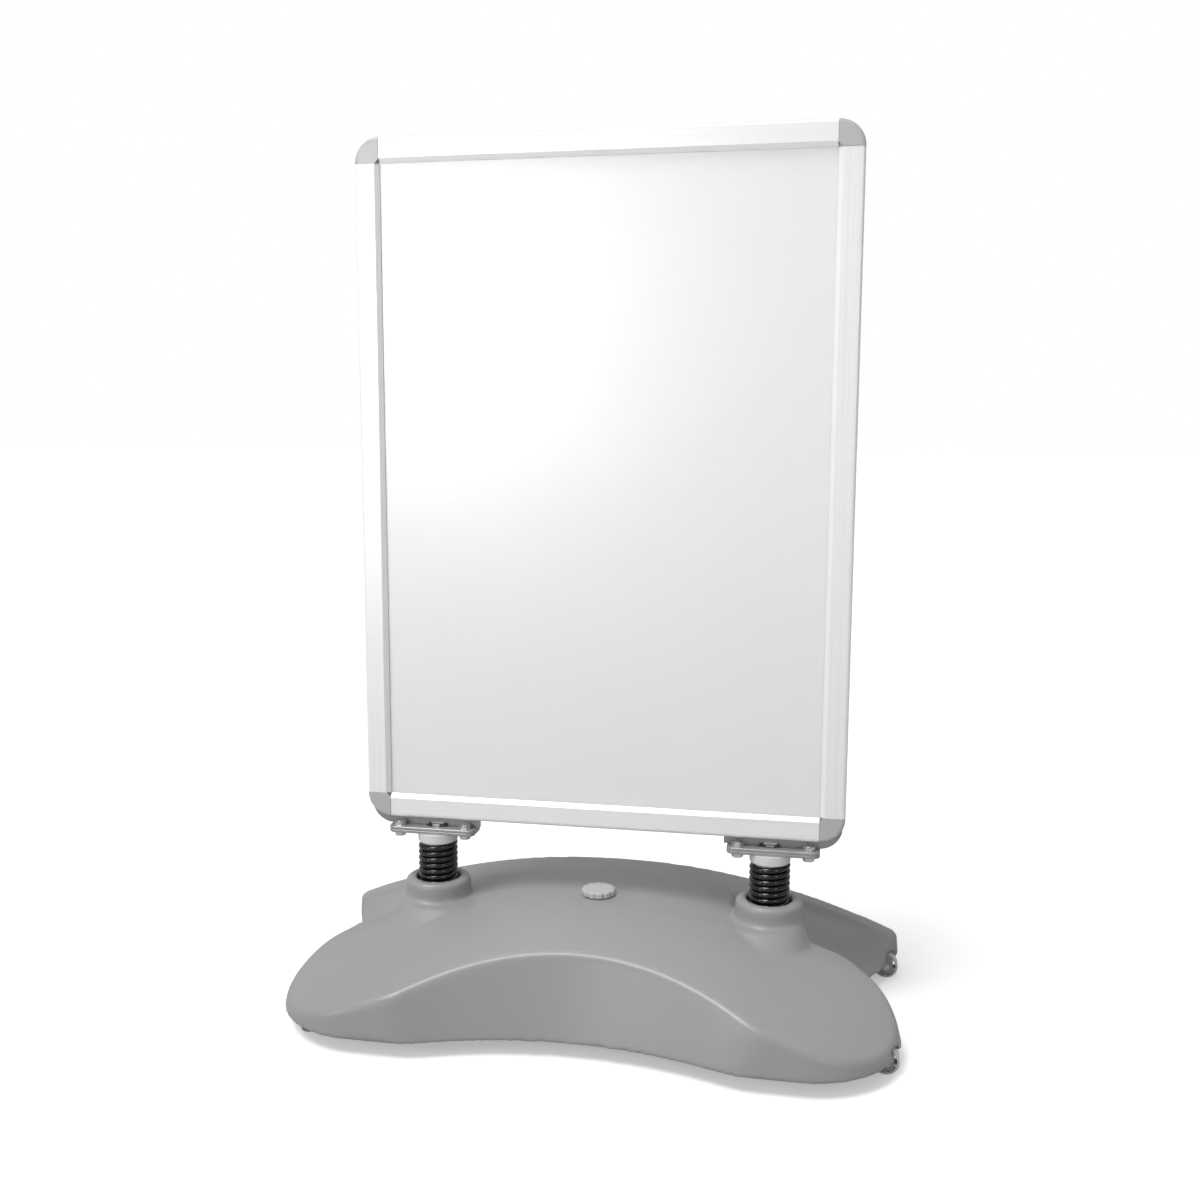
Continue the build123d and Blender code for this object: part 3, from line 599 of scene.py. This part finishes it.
class SIGN_OT_small_parts(bpy.types.Operator):
    """Give the cap, its seal, the wheels and the fastenings their finishes"""
    bl_idname = "sign.small_parts"
    bl_label = "Cap, wheels and fastenings"

    def execute(self, context):
        settings = context.scene.sign_base
        cap = moulded_plastic(
            "cap grey", settings.cap_colour, roughness=0.38, grain_size=0.0011, dust=0.1)
        wheel = moulded_plastic(
            "wheel grey", wheel_grey, roughness=0.3, grain_size=0.001, dust=0.05)
        rubber = moulded_plastic(
            "black rubber", rubber_black, roughness=0.7, grain_size=0.0009, dust=0.2)
        dress(cap, "filler_cap")
        dress(wheel, "wheel_front", "wheel_rear")
        dress(rubber, "filler_seal")
        dress(bright_zinc("bright zinc", zinc_grey),
              "wheel_axles", "axle_clips", "anchor_bolts", "spring_bolts", "plate_bolts",
              "plate_nuts", "shoe_rivets", "front_leaf_springs", "rear_leaf_springs")
        return {"FINISHED"}


class SIGN_OT_posts(bpy.types.Operator):
    """Copy the springs, and give springs, plugs and brackets their finishes"""
    bl_idname = "sign.posts"
    bl_label = "Spring posts"

    def execute(self, context):
        settings = context.scene.sign_posts
        black = enamel("black enamel", settings.spring_colour)
        for side in ("left", "right"):
            coil = copy_node(f"spring_{side}", f"coil_{side}")
            set_finish(coil.data, black)
            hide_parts(f"spring_{side}")
            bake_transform(coil)
        plug = moulded_plastic(
            "plug white", plug_white, roughness=0.4, grain_size=0.001, dust=0.1)
        dress(plug, "upper_plug_left", "upper_plug_right", "lower_plug_left", "lower_plug_right")
        bracket = bright_zinc(
            "bracket grey", settings.bracket_colour, roughness=0.4, metallic=0.35)
        dress(bracket, "lower_plate_left", "lower_plate_right",
              "upper_plate_left", "upper_plate_right", "shoe_left", "shoe_right")
        return {"FINISHED"}


class SIGN_OT_frames(bpy.types.Operator):
    """Give the snap frames, corners and sheets their finishes"""
    bl_idname = "sign.frames"
    bl_label = "Snap frames"

    def execute(self, context):
        settings = context.scene.sign_frame
        across = anodised("anodised across", settings.rail_colour, "X")
        upright = anodised("anodised upright", settings.rail_colour, "Z")
        corner = moulded_plastic(
            "corner grey", settings.corner_colour,
            roughness=0.3, grain_size=0.0009, dust=0.04, waves=0.1)
        board = moulded_plastic(
            "board grey", board_grey, roughness=0.5, grain_size=0.0012, dust=0.0, waves=0.1)
        poster = printed_sheet("blank poster", settings.sheet_colour)
        clear = clear_sheet("clear cover")
        for face in ("front", "rear"):
            for side in ("top", "bottom"):
                dress(across, f"{face}_rail_{side}", f"{face}_base_{side}")
            for side in ("left", "right"):
                dress(upright, f"{face}_rail_{side}", f"{face}_base_{side}")
            dress(corner, *[f"{face}_corner_{place}" for place in ("tl", "tr", "bl", "br")])
            dress(board, f"{face}_backing")
            dress(poster, f"{face}_poster")
            self.cover(face, clear)
        dress(board, "core_panel")
        return {"FINISHED"}

    def cover(self, face, clear):
        """Clear sheet that is a little thinner and smaller than the solid it stands for."""
        side_share, thickness_share = 0.999, 0.6
        sheet = copy_node(f"{face}_cover", f"{face}_clear_sheet")
        low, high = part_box(f"{face}_cover")
        outside = low.y if face == "front" else high.y
        edit_all(sheet)
        bpy.ops.transform.resize(
            value=(side_share, thickness_share, side_share),
            center_override=(0, outside, (low.z + high.z) / 2))
        close_edit()
        finish_with(sheet, clear, "sign")
        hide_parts(f"{face}_cover")


class SIGN_OT_stage(bpy.types.Operator):
    """Set the floor, the light, the surround and the camera"""
    bl_idname = "sign.stage"
    bl_label = "Stage"

    def execute(self, context):
        settings = context.scene.sign_stage
        self.lay_floor(settings)
        self.build_surround(context.scene, settings)
        self.set_lights(settings)
        self.set_camera(context.scene, settings)
        context.scene.view_settings.view_transform = "Standard"
        return {"FINISHED"}

    def lay_floor(self, settings):
        """Pale floor that looks whiter to the camera than to the sign."""
        floor_size, floor_middle = 60, (0, 20, 0)
        bpy.ops.mesh.primitive_plane_add(size=floor_size, location=floor_middle)
        floor = settle(bpy.context.object, "floor")
        finish = Finish("studio floor", roughness=0.9)
        finish.plain("Specular IOR Level", 0.1)
        finish.plain("Emission Color", (*white, 1))
        seen = finish.tree.nodes.new("ShaderNodeLightPath").outputs["Is Camera Ray"]
        bounce = [tone * settings.floor_bounce for tone in settings.floor_colour]
        finish.colour(finish.mix(seen, bounce, settings.floor_colour))
        lift = math_node(finish.tree, "MULTIPLY", seen, settings.floor_lift)
        finish.tree.links.new(lift, finish.shader.inputs["Emission Strength"])
        set_finish(floor.data, finish.material)

    def build_surround(self, scene, settings):
        """Soft light, strongest from above and from the left, behind a white backdrop."""
        left_share, level_share = -0.25, 0.5
        world = bpy.data.worlds.new("studio surround")
        scene.world = world
        world.use_nodes = True
        tree = world.node_tree
        view = tree.nodes.new("ShaderNodeTexCoord")
        split = tree.nodes.new("ShaderNodeSeparateXYZ")
        tree.links.new(view.outputs["Generated"], split.inputs[0])
        side = math_node(tree, "MULTIPLY", split.outputs["X"], left_share)
        rise = math_node(tree, "ADD", split.outputs["Z"], side)
        shade = math_node(tree, "ADD", rise, level_share, clamp=True)
        glow = math_node(tree, "MULTIPLY", shade, settings.world_strength)
        light = tree.nodes["Background"]
        tree.links.new(glow, light.inputs["Strength"])
        backdrop = tree.nodes.new("ShaderNodeBackground")
        backdrop.inputs["Strength"].default_value = 1.0
        for node in (light, backdrop):
            node.inputs["Color"].default_value = (*white, 1)
        path = tree.nodes.new("ShaderNodeLightPath")
        seen = math_node(
            tree, "MAXIMUM", path.outputs["Is Camera Ray"], path.outputs["Is Transmission Ray"])
        mix = tree.nodes.new("ShaderNodeMixShader")
        tree.links.new(seen, mix.inputs["Fac"])
        for node, socket in ((light, mix.inputs[1]), (backdrop, mix.inputs[2])):
            tree.links.new(node.outputs["Background"], socket)
        tree.links.new(mix.outputs["Shader"], tree.nodes["World Output"].inputs["Surface"])

    def set_lights(self, settings):
        """Broad sun, a softbox beside the camera and two small panels for highlights."""
        sun_tilt, sun_turn, sun_angle = 25, -46, 24
        bpy.ops.object.light_add(
            type="SUN", location=(-1.5, -2.0, 3.0),
            rotation=(radians(sun_tilt), 0, radians(sun_turn)))
        sun = bpy.context.object
        sun.name = "key"
        sun.data.energy = settings.sun_strength
        sun.data.angle = radians(sun_angle)
        self.panel("softbox", place=(-1.1, -2.6, 1.1), tilt=91, turn=-19, size=(1.0, 0.9),
                   spread=46, power=settings.softbox_power)
        for name, x, y, turn, share in (("strip_left", -2.2, -1.9, -49, 0.8),
                                        ("strip_right", 2.0, -2.2, 43, 0.5)):
            self.panel(name, place=(x, y, 1.1), tilt=76, turn=turn, size=(0.35, 0.5),
                       spread=180, power=settings.strip_power * share)

    def panel(self, name, place, tilt, turn, size, spread, power):
        """Rectangular lamp. Its tilt, turn and spread are in degrees."""
        bpy.ops.object.light_add(
            type="AREA", location=place, rotation=(radians(tilt), 0, radians(turn)))
        lamp = bpy.context.object
        lamp.name = name
        lamp.data.shape = "RECTANGLE"
        lamp.data.size, lamp.data.size_y = size
        lamp.data.spread = radians(spread)
        lamp.data.energy = power

    def set_camera(self, scene, settings):
        bpy.ops.object.camera_add(location=settings.camera_place, rotation=settings.camera_turn)
        camera = bpy.context.object
        camera.data.lens = settings.lens
        camera.data.sensor_width = 36
        scene.camera = camera


class SIGN_PT_panel(bpy.types.Panel):
    """Lists the sign's pieces and their settings"""
    bl_label = "Pavement sign"
    bl_idname = "SIGN_PT_panel"
    bl_space_type = "VIEW_3D"
    bl_region_type = "UI"
    bl_category = "Pavement sign"

    def draw(self, context):
        for key, group in setting_groups.items():
            box = self.layout.box()
            for name in group.__annotations__:
                box.prop(getattr(context.scene, key), name)
        for operator in operators:
            self.layout.operator(operator.bl_idname)


setting_groups = {
    "sign_base": BaseSettings,
    "sign_frame": FrameSettings,
    "sign_posts": PostSettings,
    "sign_stage": StageSettings,
}
operators = (
    SIGN_OT_base_moulding,
    SIGN_OT_small_parts,
    SIGN_OT_posts,
    SIGN_OT_frames,
    SIGN_OT_stage,
)


def register():
    for key, group in setting_groups.items():
        bpy.utils.register_class(group)
        setattr(bpy.types.Scene, key, bpy.props.PointerProperty(type=group))
    for operator in operators:
        bpy.utils.register_class(operator)
    bpy.utils.register_class(SIGN_PT_panel)


def unregister():
    bpy.utils.unregister_class(SIGN_PT_panel)
    for operator in reversed(operators):
        bpy.utils.unregister_class(operator)
    for key, group in setting_groups.items():
        delattr(bpy.types.Scene, key)
        bpy.utils.unregister_class(group)


def main():
    register()
    bpy.ops.sign.base_moulding()
    bpy.ops.sign.small_parts()
    bpy.ops.sign.posts()
    bpy.ops.sign.frames()
    bpy.ops.sign.stage()


if __name__ == "__main__":
    main()
